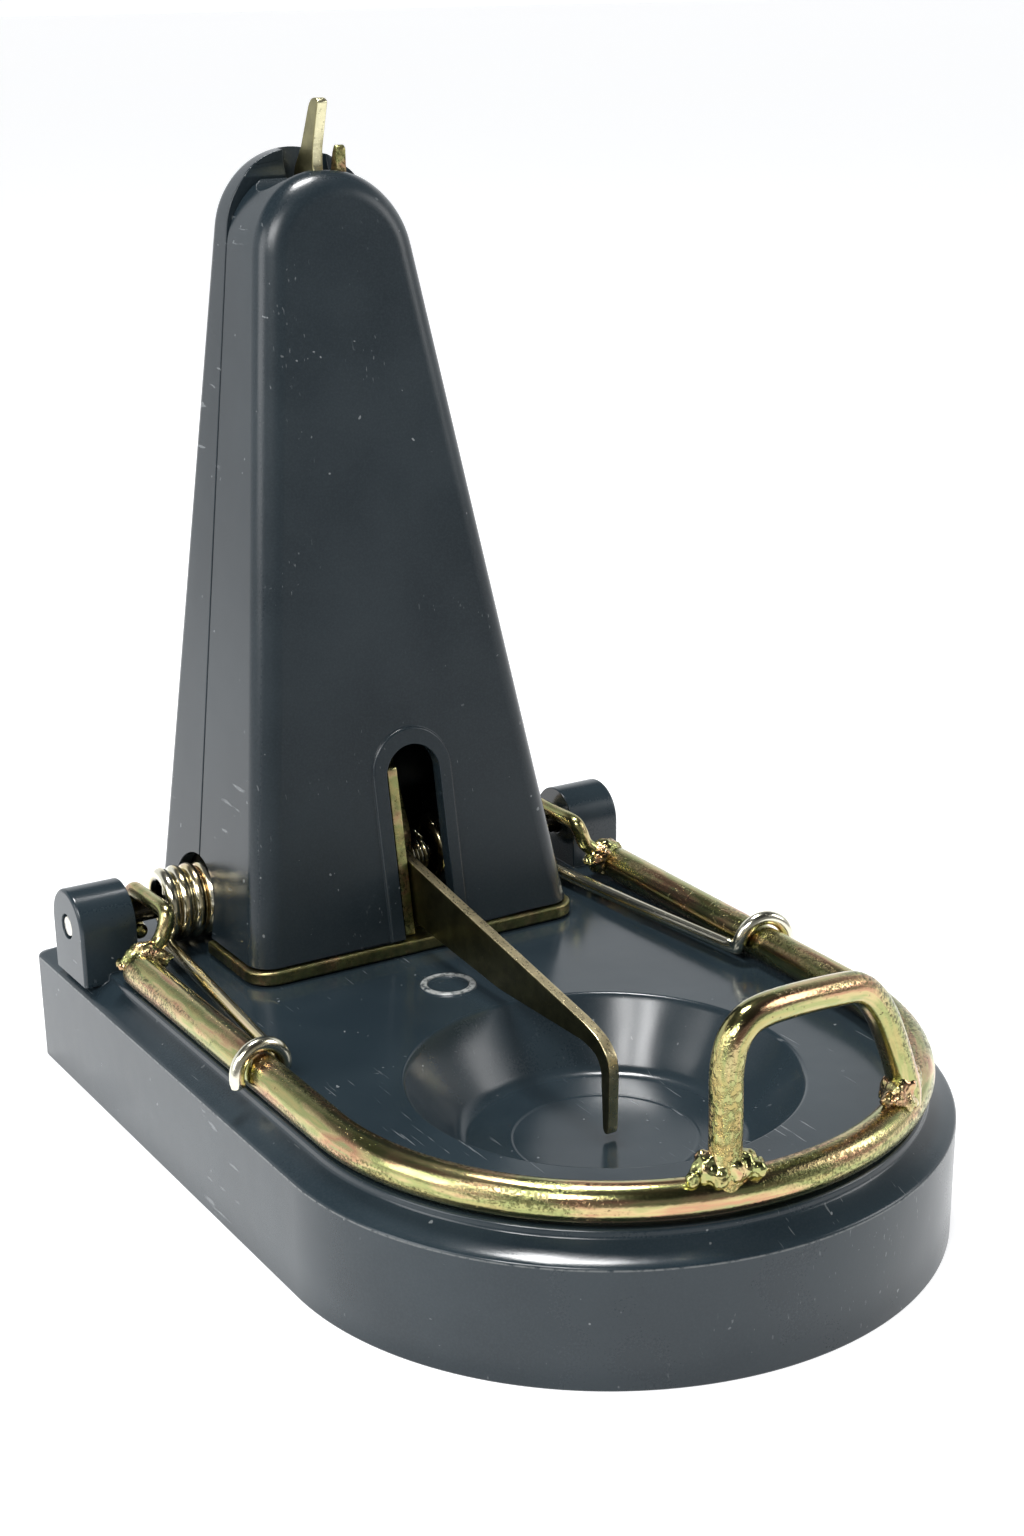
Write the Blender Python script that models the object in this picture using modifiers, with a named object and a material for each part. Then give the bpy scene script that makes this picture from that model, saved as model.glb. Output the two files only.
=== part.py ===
"""Snap trap for rats and mice, built piece by piece.

A heavy wire hoop turns on an axle at the back of a moulded base. Two torsion springs throw it down
onto the deck. A two-part tower over the axle holds the catch, and a bent blade reaches from the
tower down into a round bait dish. The pieces stand as they lie after the trap has sprung.

Frame: X to the right, the hoop's round end at -Y, Z up, the origin at the middle of the footprint.
Sizes below are in millimetres. Meshes are made in metres.
"""

import math

import bmesh
import bpy
from mathutils import Matrix, Vector

MM = 0.001
GAP = 0.3                                   # room between pieces that touch

# Whole trap
WIDTH = 114.3
LENGTH = 165.1
HEIGHT = 171.45
FRONT_CENTRE = WIDTH / 2 - LENGTH / 2       # centre of the round front end, on Y

# Base moulding
DECK_Z = 24.2
DECK_THICKNESS = 3.5
SKIRT_THICKNESS = 2.8
RIM_ROUND = 4.3
CORNER_RADIUS = 2.5
DISH_RIM_RADIUS = 33.0
DISH_FLOOR_RADIUS = 24.5
DISH_FLOOR_Z = 12.5
DISH_WALL = 2.5

# Axle and the lugs that carry it
AXLE_Y = 64.0
AXLE_Z = 32.0
AXLE_RADIUS = 2.0
AXLE_HALF_LENGTH = 56.9
LUG_RADIUS = 6.9
LUG_INNER_X = 46.5
LUG_OUTER_X = 57.1

# Steel plate under the tower
PLATE_HALF_WIDTH = 33.8
PLATE_FRONT_Y = 35.0
PLATE_BACK_Y = 80.6
PLATE_THICKNESS = 2.5
PLATE_CORNER = 5.0
PLATE_BOTTOM_Z = DECK_Z + GAP
PLATE_TOP_Z = PLATE_BOTTOM_Z + PLATE_THICKNESS

# Tower: a wedge with sloping sides, a leaning front and a round top
TOWER_BOTTOM_Z = PLATE_TOP_Z + GAP
TOWER_HALF_WIDTH = 33.0
TOWER_SIDE_SLOPE = 0.1495                   # sideways run for each unit of height
TOWER_FRONT_Y = 35.8
TOWER_FRONT_LEAN = 0.181
TOWER_SEAM_Y = 62.0
TOWER_SEAM_LEAN = 0.085
TOWER_BACK_Y = 80.0
TOWER_WALL = 2.4
FRONT_TOP_Z = 160.2
REAR_TOP_Z = 162.8
CAVITY_TOP_Z = 153.0
FRONT_EDGE_ROUND = 4.5
REAR_EDGE_ROUND = 3.2
SPRING_ARCH_RADIUS = 8.6
TRIGGER_SLOT_X = 2.0                        # middle of the slot in the front face
TRIGGER_SLOT_RADIUS = 5.4
TRIGGER_SLOT_ARCH_Z = 56.6
PRONG_SLOT_X = (-2.3, 6.1)
PRONG_SLOT_Y = (63.3, 76.8)
PRONG_SLOT_Z = (147.0, 168.0)
GROOVE_Y = 69.2
GROOVE_Z = 161.6
GROOVE_RADIUS = 5.2
BOSS_X = 25.2
BOSS_FRONT_Y = 43.4
BOSS_BACK_Y = 75.1
BOSS_RADIUS = 3.3
BOSS_TOP_Z = 40.0

# Steel cheeks and the levers between them, as layers along X
SPINE_X = (-2.6, -0.6)
LEVER_X = (-0.3, 1.7)
WASHER_X = (2.0, 2.7)
CHEEK_X = (3.0, 4.8)
PIN_RADIUS = 1.5
PIN_CLEARANCE = 0.15
TRIGGER_PIVOT = (51.0, 37.0)
CATCH_PIVOT = (68.5, 146.0)

# Hoop, its eyes and its handle
ROD_RADIUS = 3.15
HOOP_RADIUS = 50.2
HOOP_Z = DECK_Z + GAP + ROD_RADIUS
ARM_END_Y = 48.0
EYE_X = 43.2
EYE_WIRE_RADIUS = 1.45
EYE_LOOP_RADIUS = 4.0
HANDLE_WIRE_RADIUS = 2.5
HANDLE_FOOT_ANGLES = (257.0, 303.5)         # round the hoop's front arc, in degrees
HANDLE_FOOT_LIFT = ROD_RADIUS + 1.3         # the slanted right foot needs more room than GAP
HANDLE_TOP_Z = 54.5
WELD_RING_RADIUS = 4.3
WELD_WIRE_RADIUS = 1.0
WELD_RING_LIFT = 0.2
EYE_BEAD_X = 49.4
EYE_BEAD_OFFSET = (3.4, 0.9)                # past the arm's end on Y, and above its axis
EYE_BEAD_SIZE = (4.2, 3.0, 3.4)

# Torsion springs
SPRING_WIRE_RADIUS = 1.25
SPRING_RADIUS = 5.75
SPRING_OUTER_X = 39.3
SPRING_INNER_X = 17.0
SPRING_TURNS = 8.5
SPRING_HOOK_Y = 0.0

# Fasteners
SCREW_RADIUS = 1.5
SCREW_HEAD_RADIUS = 3.0

DARK_PLASTIC = ("slate_plastic", (0.055, 0.065, 0.078, 1), 0.35, 0.0)
ZINC_STEEL = ("yellow_zinc_steel", (0.62, 0.52, 0.27, 1), 0.30, 1.0)
BRIGHT_STEEL = ("bright_steel", (0.60, 0.58, 0.54, 1), 0.28, 1.0)
SPRING_STEEL = ("spring_steel", (0.66, 0.62, 0.50, 1), 0.25, 1.0)

for old in list(bpy.data.objects):
    bpy.data.objects.remove(old)

scene_root = bpy.context.scene.collection
parts = bpy.data.collections.new("snap_trap")
cutters = bpy.data.collections.new("cutters")
scene_root.children.link(parts)
scene_root.children.link(cutters)


def make_material(node_name, finish):
    """One Principled material for one piece."""
    _, colour, roughness, metallic = finish
    material = bpy.data.materials.new(node_name + "_" + finish[0])
    material.use_nodes = True
    shader = material.node_tree.nodes["Principled BSDF"]
    shader.inputs["Base Color"].default_value = colour
    shader.inputs["Roughness"].default_value = roughness
    shader.inputs["Metallic"].default_value = metallic
    return material


def add_part(shape, finish, pivot=None):
    """Puts a piece in the trap, with its origin at pivot (y, z) on X = 0 when it turns."""
    parts.objects.link(shape)
    shape.data.materials.append(make_material(shape.name, finish))
    if pivot:
        place = Vector((0, pivot[0], pivot[1])) * MM
        if shape.type == "MESH":
            shape.data.transform(Matrix.Translation(-place))
        else:
            for spline in shape.data.splines:
                for point in spline.points:
                    point.co.xyz = point.co.xyz - place
        shape.location = place
    return shape


def arc(centre, radius, start, stop, steps):
    """Points on a circle from start to stop degrees, ends included."""
    turns = [math.radians(start + (stop - start) * i / steps) for i in range(steps + 1)]
    return [(centre[0] + radius * math.cos(a), centre[1] + radius * math.sin(a)) for a in turns]


def to_space(plane, u, v, w):
    """A point of an outline in metres: u and v lie in the plane, w goes through it."""
    order = {"XY": (u, v, w), "XZ": (u, w, v), "YZ": (w, u, v)}
    return Vector(order[plane]) * MM


def outline_solid(name, outline, start, stop, plane="XY", rim=None):
    """A flat outline pushed from start to stop. Either end may be a function of v.

    rim = (radius, steps, lowest v) rounds the edges of the start end above lowest v.
    """
    near = start if callable(start) else lambda v: start
    far = stop if callable(stop) else lambda v: stop
    mesh = bmesh.new()
    ring = [mesh.verts.new(to_space(plane, u, v, near(v))) for u, v in outline]
    face = mesh.faces.new(ring)
    pushed = bmesh.ops.extrude_face_region(mesh, geom=[face])
    moved = [g for g in pushed["geom"] if isinstance(g, bmesh.types.BMVert)]
    thrust = {"XY": 2, "XZ": 1, "YZ": 0}[plane]
    height = {"XY": 1, "XZ": 2, "YZ": 2}[plane]
    for vert in moved:
        vert.co[thrust] = far(vert.co[height] / MM) * MM
    bmesh.ops.recalc_face_normals(mesh, faces=mesh.faces)
    if rim:
        radius, steps, lowest = rim
        kept = set(mesh.verts) - set(moved)
        edges = [e for e in mesh.edges if set(e.verts) <= kept
                 and max(v.co[height] for v in e.verts) > lowest * MM]
        bmesh.ops.bevel(mesh, geom=edges, offset=radius * MM, segments=steps, profile=0.5,
                        affect="EDGES", clamp_overlap=True)
    data = bpy.data.meshes.new(name)
    mesh.to_mesh(data)
    mesh.free()
    return bpy.data.objects.new(name, data)


def cylinder(name, axis, centre, radius, length, steps=24, top_radius=None):
    """A closed cylinder or cone along axis, centred at centre."""
    mesh = bmesh.new()
    end = radius if top_radius is None else top_radius
    bmesh.ops.create_cone(mesh, cap_ends=True, segments=steps, radius1=radius * MM,
                          radius2=end * MM, depth=length * MM)
    turn = {"X": Matrix.Rotation(math.pi / 2, 4, "Y"), "Z": Matrix.Identity(4)}[axis]
    bmesh.ops.transform(mesh, matrix=Matrix.Translation(Vector(centre) * MM) @ turn,
                        verts=mesh.verts)
    data = bpy.data.meshes.new(name)
    mesh.to_mesh(data)
    mesh.free()
    return bpy.data.objects.new(name, data)


def box(name, low, high):
    """A box between two corners."""
    outline = [(low[0], low[1]), (high[0], low[1]), (high[0], high[1]), (low[0], high[1])]
    return outline_solid(name, outline, low[2], high[2])


def wire(name, points, radius, sides=8, closed=False):
    """A round wire through points, with filled ends, or a closed ring of it."""
    curve = bpy.data.curves.new(name, "CURVE")
    curve.dimensions = "3D"
    curve.bevel_depth = radius * MM
    curve.bevel_resolution = sides // 2 - 2
    curve.use_fill_caps = True
    spline = curve.splines.new("POLY")
    spline.points.add(len(points) - 1)
    spline.use_cyclic_u = closed
    for point, place in zip(spline.points, points):
        point.co = (*(Vector(place) * MM), 1)
    return bpy.data.objects.new(name, curve)


def apply_shape(shape, tool, operation):
    """Cuts or joins shape with tool, which stays as a hidden guide."""
    cutters.objects.link(tool)
    tool.hide_render = True
    tool.display_type = "WIRE"
    step = shape.modifiers.new(operation.lower() + "_" + tool.name, "BOOLEAN")
    step.operation = operation
    step.solver = "EXACT"
    step.object = tool


def cut(shape, tool):
    apply_shape(shape, tool, "DIFFERENCE")


def join(shape, tool):
    apply_shape(shape, tool, "UNION")


def mirrored(points):
    """The same points on the other side of the trap."""
    return [(-x, y, z) for x, y, z in points]


def smooth_path(points, steps):
    """A smooth run through hand-placed points, for bent wire."""
    path = []
    for i in range(len(points) - 1):
        before = Vector(points[max(i - 1, 0)])
        start, stop = Vector(points[i]), Vector(points[i + 1])
        after = Vector(points[min(i + 2, len(points) - 1)])
        for k in range(steps):
            t = k / steps
            path.append(0.5 * (2 * start + (stop - before) * t
                               + (2 * before - 5 * start + 4 * stop - after) * t * t
                               + (3 * start - before - 3 * stop + after) * t ** 3))
    path.append(Vector(points[-1]))
    return [tuple(p) for p in path]


# Base: a D-shaped moulding, open below, with the dish sunk in its deck and a lug at each side

def base_outline(inset):
    """The footprint: a half circle in front, straight sides and small back corners."""
    half = WIDTH / 2 - inset
    back = LENGTH / 2 - inset
    front = arc((0, FRONT_CENTRE), half, 180, 360, 36)
    right = arc((half - CORNER_RADIUS, back - CORNER_RADIUS), CORNER_RADIUS, 0, 90, 3)
    left = arc((CORNER_RADIUS - half, back - CORNER_RADIUS), CORNER_RADIUS, 90, 180, 3)
    return front + right + left


def lug_outline():
    """The side view of a lug: a round head over a straight body."""
    head = arc((AXLE_Y, AXLE_Z), LUG_RADIUS, 0, 180, 12)
    foot_z = DECK_Z - DECK_THICKNESS / 2
    return head + [(AXLE_Y - LUG_RADIUS, foot_z), (AXLE_Y + LUG_RADIUS, foot_z)]


def screw_places():
    """Where the four tower screws pass, on X and Y."""
    return [(side * BOSS_X, y) for y in (BOSS_FRONT_Y, BOSS_BACK_Y) for side in (-1, 1)]


def make_base():
    base = outline_solid("base", base_outline(0), DECK_Z, 0, rim=(RIM_ROUND, 3, -LENGTH))
    hollow_top = DECK_Z - DECK_THICKNESS
    cut(base, outline_solid("base_hollow", base_outline(SKIRT_THICKNESS), -2, hollow_top))
    slope = (DISH_RIM_RADIUS - DISH_FLOOR_RADIUS) / (DECK_Z - DISH_FLOOR_Z)
    bowl_bottom = DISH_FLOOR_Z - DISH_WALL
    bowl_top = hollow_top + 1
    bowl_radius = DISH_FLOOR_RADIUS + DISH_WALL
    join(base, cylinder("dish_bowl", "Z", (0, FRONT_CENTRE, (bowl_bottom + bowl_top) / 2),
                        bowl_radius, bowl_top - bowl_bottom, 40,
                        bowl_radius + slope * (bowl_top - bowl_bottom)))
    for side in (-1, 1):
        join(base, outline_solid(f"lug_{side}", lug_outline(), side * LUG_INNER_X,
                                 side * LUG_OUTER_X, "YZ"))
    dish_top = DECK_Z + 2
    cut(base, cylinder("dish_space", "Z", (0, FRONT_CENTRE, (DISH_FLOOR_Z + dish_top) / 2),
                       DISH_FLOOR_RADIUS, dish_top - DISH_FLOOR_Z, 40,
                       DISH_FLOOR_RADIUS + slope * (dish_top - DISH_FLOOR_Z)))
    cut(base, cylinder("axle_space", "X", (0, AXLE_Y, AXLE_Z), AXLE_RADIUS + GAP, WIDTH + 10))
    for i, (x, y) in enumerate(screw_places()):
        cut(base, cylinder(f"base_screw_space_{i}", "Z", (x, y, DECK_Z), SCREW_RADIUS + GAP, 20, 16))
    add_part(base, DARK_PLASTIC)


# Frame plate and the two upright steel cheeks

def make_frame_plate():
    half = PLATE_HALF_WIDTH - PLATE_CORNER
    front = PLATE_FRONT_Y + PLATE_CORNER
    back = PLATE_BACK_Y - PLATE_CORNER
    outline = (arc((half, back), PLATE_CORNER, 0, 90, 5)
               + arc((-half, back), PLATE_CORNER, 90, 180, 5)
               + arc((-half, front), PLATE_CORNER, 180, 270, 5)
               + arc((half, front), PLATE_CORNER, 270, 360, 5))
    plate = outline_solid("frame_plate", outline, PLATE_BOTTOM_Z, PLATE_TOP_Z)
    for side in (-1, 1):
        inner = side * (SPRING_INNER_X - 3)
        outer = side * (PLATE_HALF_WIDTH + 5)
        cut(plate, box(f"spring_notch_{side}",
                       (min(inner, outer), AXLE_Y - SPRING_ARCH_RADIUS, PLATE_BOTTOM_Z - 2),
                       (max(inner, outer), AXLE_Y + LUG_RADIUS + 0.6, PLATE_TOP_Z + 2)))
    for i, (x, y) in enumerate(screw_places()):
        cut(plate, cylinder(f"plate_screw_space_{i}", "Z", (x, y, PLATE_TOP_Z),
                            SCREW_RADIUS + GAP, 20, 16))
    add_part(plate, ZINC_STEEL)


def drill(shape, name, place, radius, layer):
    """A hole along X through a plate that lies between the two X values of layer."""
    middle = (layer[0] + layer[1]) / 2
    width = layer[1] - layer[0] + 2
    cut(shape, cylinder(name, "X", (middle, *place), radius, width, 20))


def make_cheeks():
    foot = TOWER_BOTTOM_Z
    spine_side = [(36.9, foot), (42.3, 58.0), (45.5, 58.9), (61.8, 149.5), (63, 151), (73, 151),
                  (74.2, 148), (74.2, foot)]
    spine = outline_solid("spine_plate", spine_side, *SPINE_X, "YZ")
    cheek_side = [(47.5, foot), (47.5, 43), (56, 60), (63.2, 140), (64.3, 155), (64.3, 163.2),
                  (65.3, 163.8), (66.2, 162.2), (67.6, 156), (74.2, 148), (74.2, foot)]
    cheek = outline_solid("side_plate", cheek_side, *CHEEK_X, "YZ")
    for shape, layer in ((spine, SPINE_X), (cheek, CHEEK_X)):
        drill(shape, shape.name + "_axle_space", (AXLE_Y, AXLE_Z), AXLE_RADIUS + GAP, layer)
        drill(shape, shape.name + "_trigger_space", TRIGGER_PIVOT, PIN_RADIUS + PIN_CLEARANCE, layer)
        drill(shape, shape.name + "_catch_space", CATCH_PIVOT, PIN_RADIUS + PIN_CLEARANCE, layer)
        add_part(shape, ZINC_STEEL)


# Tower: two thin shells that meet at a leaning seam

def tower_outline(inset, top_z):
    """Front view of the tower: sloping sides that run into a round head."""
    lean = math.atan(TOWER_SIDE_SLOPE)
    reach = TOWER_HALF_WIDTH + TOWER_SIDE_SLOPE * TOWER_BOTTOM_Z
    head_z = (top_z - (reach * math.cos(lean) - inset)) / (1 - math.sin(lean))
    head_radius = top_z - head_z
    head = arc((0, head_z), head_radius, math.degrees(lean), 180 - math.degrees(lean), 14)
    foot_z = TOWER_BOTTOM_Z if inset == 0 else TOWER_BOTTOM_Z - 5
    foot = reach - TOWER_SIDE_SLOPE * foot_z - inset / math.cos(lean)
    return head + [(-foot, foot_z), (foot, foot_z)]


def front_y(z):
    return TOWER_FRONT_Y + TOWER_FRONT_LEAN * (z - TOWER_BOTTOM_Z)


def seam_y(z):
    return TOWER_SEAM_Y + TOWER_SEAM_LEAN * (z - TOWER_BOTTOM_Z)


def cut_tower_openings(shell):
    """The arched side holes for the springs, the cross groove and the slot for the prongs."""
    name = shell.name
    arch = arc((AXLE_Y, AXLE_Z), SPRING_ARCH_RADIUS, 0, 180, 16)
    low = TOWER_BOTTOM_Z - 3
    arch += [(AXLE_Y - SPRING_ARCH_RADIUS, low), (AXLE_Y + SPRING_ARCH_RADIUS, low)]
    cut(shell, outline_solid(name + "_arch_space", arch, -WIDTH / 2, WIDTH / 2, "YZ"))
    cut(shell, cylinder(name + "_groove_space", "X", (0, GROOVE_Y, GROOVE_Z), GROOVE_RADIUS, 60, 32))
    low_corner, high_corner = zip(PRONG_SLOT_X, PRONG_SLOT_Y, PRONG_SLOT_Z)
    cut(shell, box(name + "_prong_space", low_corner, high_corner))


def add_bosses(shell, y):
    for side in (-1, 1):
        middle = (TOWER_BOTTOM_Z + BOSS_TOP_Z) / 2
        join(shell, cylinder(f"{shell.name}_boss_{side}", "Z", (side * BOSS_X, y, middle),
                             BOSS_RADIUS, BOSS_TOP_Z - TOWER_BOTTOM_Z, 16))
    for side in (-1, 1):
        cut(shell, cylinder(f"{shell.name}_screw_space_{side}", "Z",
                            (side * BOSS_X, y, BOSS_TOP_Z - 8), SCREW_RADIUS + GAP, 12, 16))


def make_front_shell():
    shell = outline_solid("tower_front_shell", tower_outline(0, FRONT_TOP_Z), front_y,
                          lambda z: seam_y(z) - GAP / 2, "XZ",
                          rim=(FRONT_EDGE_ROUND, 3, TOWER_BOTTOM_Z + 1))
    cut(shell, outline_solid("front_hollow", tower_outline(TOWER_WALL, CAVITY_TOP_Z),
                             lambda z: front_y(z) + TOWER_WALL, lambda z: seam_y(z) + 5, "XZ"))
    add_bosses(shell, BOSS_FRONT_Y)
    cut_tower_openings(shell)
    head = arc((TRIGGER_SLOT_X, TRIGGER_SLOT_ARCH_Z), TRIGGER_SLOT_RADIUS, 0, 180, 12)
    low = TOWER_BOTTOM_Z - 5
    feet = [(TRIGGER_SLOT_X + side * TRIGGER_SLOT_RADIUS, low) for side in (-1, 1)]
    cut(shell, outline_solid("trigger_slot", head + feet, TOWER_FRONT_Y - 10, 50, "XZ"))
    add_part(shell, DARK_PLASTIC)


def make_rear_shell():
    shell = outline_solid("tower_rear_shell", tower_outline(0, REAR_TOP_Z), TOWER_BACK_Y,
                          lambda z: seam_y(z) + GAP / 2, "XZ",
                          rim=(REAR_EDGE_ROUND, 2, TOWER_BOTTOM_Z + 1))
    cut(shell, outline_solid("rear_hollow", tower_outline(TOWER_WALL, CAVITY_TOP_Z),
                             lambda z: seam_y(z) - 5, TOWER_BACK_Y - TOWER_WALL, "XZ"))
    add_bosses(shell, BOSS_BACK_Y)
    cut_tower_openings(shell)
    add_part(shell, DARK_PLASTIC)


# Catch and trigger: flat levers in the same layer, each on its own pin

def make_catch():
    prong = [(64.3, 170.9), (65.2, HEIGHT), (66.6, HEIGHT), (67.9, 170.4),
             (71.6, 163.0), (74.4, 159.4), (75.1, 156.5)]
    arm_back = [(73.4, 148), (72.4, 141), (70.2, 100), (68.8, 52), (67.6, 47.3)]
    arm_front = [(64.4, 47.3), (63.8, 56), (65.2, 100), (64.8, 141), (65.0, 150),
                 (66.2, 157.5), (67.1, 160.0), (66.9, 163.0)]
    lever = outline_solid("catch_lever", prong + arm_back + arm_front, *LEVER_X, "YZ")
    drill(lever, "catch_pin_space", CATCH_PIVOT, PIN_RADIUS + PIN_CLEARANCE, LEVER_X)
    add_part(lever, BRIGHT_STEEL, CATCH_PIVOT)


def make_trigger():
    top_edge = [(57.0, 44.0), (55.5, 45.0), (47, 42.4), (39, 40.6), (-19.5, 31.0), (-24.1, 29.6),
                (-26.6, 27.4), (-27.2, 25.0)]
    tip = [(-26.9, 14.4), (-26.5, 13.4), (-25.7, 13.4), (-25.2, 14.2)]
    low_edge = [(-24.6, 24.6), (-23.2, 26.6), (-19.5, 27.6), (7.8, 27.0), (38, 29.4), (50, 31.8),
                (55.5, 36)]
    lever = outline_solid("trigger_lever", top_edge + tip + low_edge, *LEVER_X, "YZ")
    drill(lever, "trigger_pin_space", TRIGGER_PIVOT, PIN_RADIUS + PIN_CLEARANCE, LEVER_X)
    add_part(lever, ZINC_STEEL, TRIGGER_PIVOT)


def make_washer(name, place):
    middle = sum(WASHER_X) / 2
    washer = cylinder(name, "X", (middle, *place), 3.2, WASHER_X[1] - WASHER_X[0], 20)
    drill(washer, name + "_space", place, PIN_RADIUS + PIN_CLEARANCE, WASHER_X)
    add_part(washer, BRIGHT_STEEL)


def make_pins():
    add_part(cylinder("axle", "X", (0, AXLE_Y, AXLE_Z), AXLE_RADIUS, 2 * AXLE_HALF_LENGTH),
             BRIGHT_STEEL)
    add_part(cylinder("trigger_pin", "X", (2.7, *TRIGGER_PIVOT), PIN_RADIUS, 14.4, 20), BRIGHT_STEEL)
    add_part(cylinder("catch_pin", "X", (1.2, *CATCH_PIVOT), PIN_RADIUS, 11.4, 20), BRIGHT_STEEL)
    make_washer("trigger_washer", TRIGGER_PIVOT)
    make_washer("catch_washer", CATCH_PIVOT)


def make_trigger_spring():
    """A small return spring coiled round the trigger pin, with one leg forward and one down."""
    start_x, stop_x, radius, turns = 5.6, 9.0, 2.8, 4
    steps = 10 * turns
    coil = []
    for i in range(steps + 1):
        angle = math.radians(90 + 360 * turns * i / steps)
        coil.append((start_x + (stop_x - start_x) * i / steps,
                     TRIGGER_PIVOT[0] + radius * math.cos(angle),
                     TRIGGER_PIVOT[1] + radius * math.sin(angle)))
    leg_up = [(start_x, TRIGGER_PIVOT[0] - 5, TRIGGER_PIVOT[1] + radius + 0.6)]
    leg_back = [(stop_x, TRIGGER_PIVOT[0] + 5, TRIGGER_PIVOT[1] + radius + 0.6)]
    add_part(wire("trigger_spring", leg_up + coil + leg_back, 0.4), SPRING_STEEL)


# Hoop, handle, eyes and springs, all turning on the axle

def hoop_point(degrees, lift=0.0):
    """A point on the front arc of the hoop."""
    angle = math.radians(degrees)
    return (HOOP_RADIUS * math.cos(angle), FRONT_CENTRE + HOOP_RADIUS * math.sin(angle), HOOP_Z + lift)


def make_hoop():
    left = [(-HOOP_RADIUS, ARM_END_Y, HOOP_Z), (-HOOP_RADIUS, 12, HOOP_Z)]
    front = [hoop_point(180 + 180 * i / 28) for i in range(29)]
    right = [(HOOP_RADIUS, 12, HOOP_Z), (HOOP_RADIUS, ARM_END_Y, HOOP_Z)]
    add_part(wire("hoop", left + front + right, ROD_RADIUS, 12), ZINC_STEEL, (AXLE_Y, AXLE_Z))


def make_handle():
    """A low loop of rod that stands on the hoop's right front quarter."""
    left, right = (Vector(hoop_point(a, HANDLE_FOOT_LIFT)) for a in HANDLE_FOOT_ANGLES)
    along = right - left
    top = HANDLE_TOP_Z - left.z
    shape = [(0, 0), (0, 0.35), (0, 0.72), (0.055, 0.93), (0.20, 1.0), (0.58, 0.93),
             (0.72, 0.86), (0.83, 0.66), (0.92, 0.36), (1, 0)]
    points = [tuple(left + along * s + Vector((0, 0, top * h))) for s, h in shape]
    path = smooth_path(points, 4)
    add_part(wire("handle_loop", path, HANDLE_WIRE_RADIUS, 10), ZINC_STEEL, (AXLE_Y, AXLE_Z))
    for name, angle in zip(("handle_weld_left", "handle_weld_right"), HANDLE_FOOT_ANGLES):
        foot = Vector(hoop_point(angle, HANDLE_FOOT_LIFT + WELD_RING_LIFT))
        turns = [2 * math.pi * k / 12 for k in range(12)]
        ring = [foot + Vector((math.cos(a), math.sin(a), 0)) * WELD_RING_RADIUS for a in turns]
        add_part(wire(name, ring, WELD_WIRE_RADIUS, closed=True), ZINC_STEEL, (AXLE_Y, AXLE_Z))


def make_eyes():
    """The wire hooks that tie each arm of the hoop to the axle, and the weld beads between."""
    path = [(-44.7, AXLE_Y - 13.8, AXLE_Z + 0.2), (-43.7, AXLE_Y - 13.7, AXLE_Z + 2.6),
            (-EYE_X, AXLE_Y - 12.4, AXLE_Z + 4.1)]
    for i in range(11):
        angle = math.radians(95 - 18.6 * i)
        path.append((-EYE_X, AXLE_Y + EYE_LOOP_RADIUS * math.cos(angle),
                     AXLE_Z + EYE_LOOP_RADIUS * math.sin(angle)))
    for side, end, points in ((-1, "left", path), (1, "right", mirrored(path))):
        add_part(wire("hoop_eye_" + end, points, EYE_WIRE_RADIUS), ZINC_STEEL, (AXLE_Y, AXLE_Z))
        bead = bmesh.new()
        place = Vector((side * EYE_BEAD_X, ARM_END_Y + EYE_BEAD_OFFSET[0],
                        HOOP_Z + EYE_BEAD_OFFSET[1])) * MM
        size = Vector(EYE_BEAD_SIZE) * MM
        bmesh.ops.create_icosphere(bead, subdivisions=2, radius=1,
                                   matrix=Matrix.LocRotScale(place, None, size))
        data = bpy.data.meshes.new("eye_weld_" + end)
        bead.to_mesh(data)
        bead.free()
        add_part(bpy.data.objects.new("eye_weld_" + end, data), ZINC_STEEL, (AXLE_Y, AXLE_Z))


def make_springs():
    """Each torsion spring: a coil on the axle, a leg along the deck and a hook over the hoop."""
    steps = int(SPRING_TURNS * 12)
    coil = []
    for i in range(steps + 1):
        angle = math.radians(270 - 360 * SPRING_TURNS * (1 - i / steps))
        x = SPRING_INNER_X + (SPRING_OUTER_X - SPRING_INNER_X) * i / steps
        coil.append((-x, AXLE_Y + SPRING_RADIUS * math.cos(angle),
                     AXLE_Z + SPRING_RADIUS * math.sin(angle)))
    hook_radius = ROD_RADIUS + GAP + SPRING_WIRE_RADIUS
    leg = [(-SPRING_OUTER_X - 0.6, AXLE_Y - 6, AXLE_Z - SPRING_RADIUS),
           (-42.4, 30, HOOP_Z - 1.2), (-HOOP_RADIUS + hook_radius + 0.5, SPRING_HOOK_Y + 3, HOOP_Z - 0.7)]
    hook = []
    for i in range(10):
        angle = math.radians(-5 + 22 * i)
        hook.append((-HOOP_RADIUS + hook_radius * math.cos(angle), SPRING_HOOK_Y - 0.25 * i,
                     HOOP_Z + hook_radius * math.sin(angle)))
    left = coil + leg + hook
    for name, points in (("torsion_spring_left", left), ("torsion_spring_right", mirrored(left))):
        add_part(wire(name, points, SPRING_WIRE_RADIUS), SPRING_STEEL, (AXLE_Y, AXLE_Z))


# Screws that hold the tower and its plate on the base

def screw_profile():
    """Half of a pan-head screw, from the shank's tip down to the middle of the head."""
    head_top = DECK_Z - DECK_THICKNESS - GAP
    tip = BOSS_TOP_Z - 4
    return [(0, tip), (SCREW_RADIUS * 0.6, tip), (SCREW_RADIUS, tip - 1.5), (SCREW_RADIUS, head_top),
            (SCREW_HEAD_RADIUS, head_top), (SCREW_HEAD_RADIUS, head_top - 1.2),
            (SCREW_HEAD_RADIUS * 0.7, head_top - 2.2), (0, head_top - 2.2)]


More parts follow.
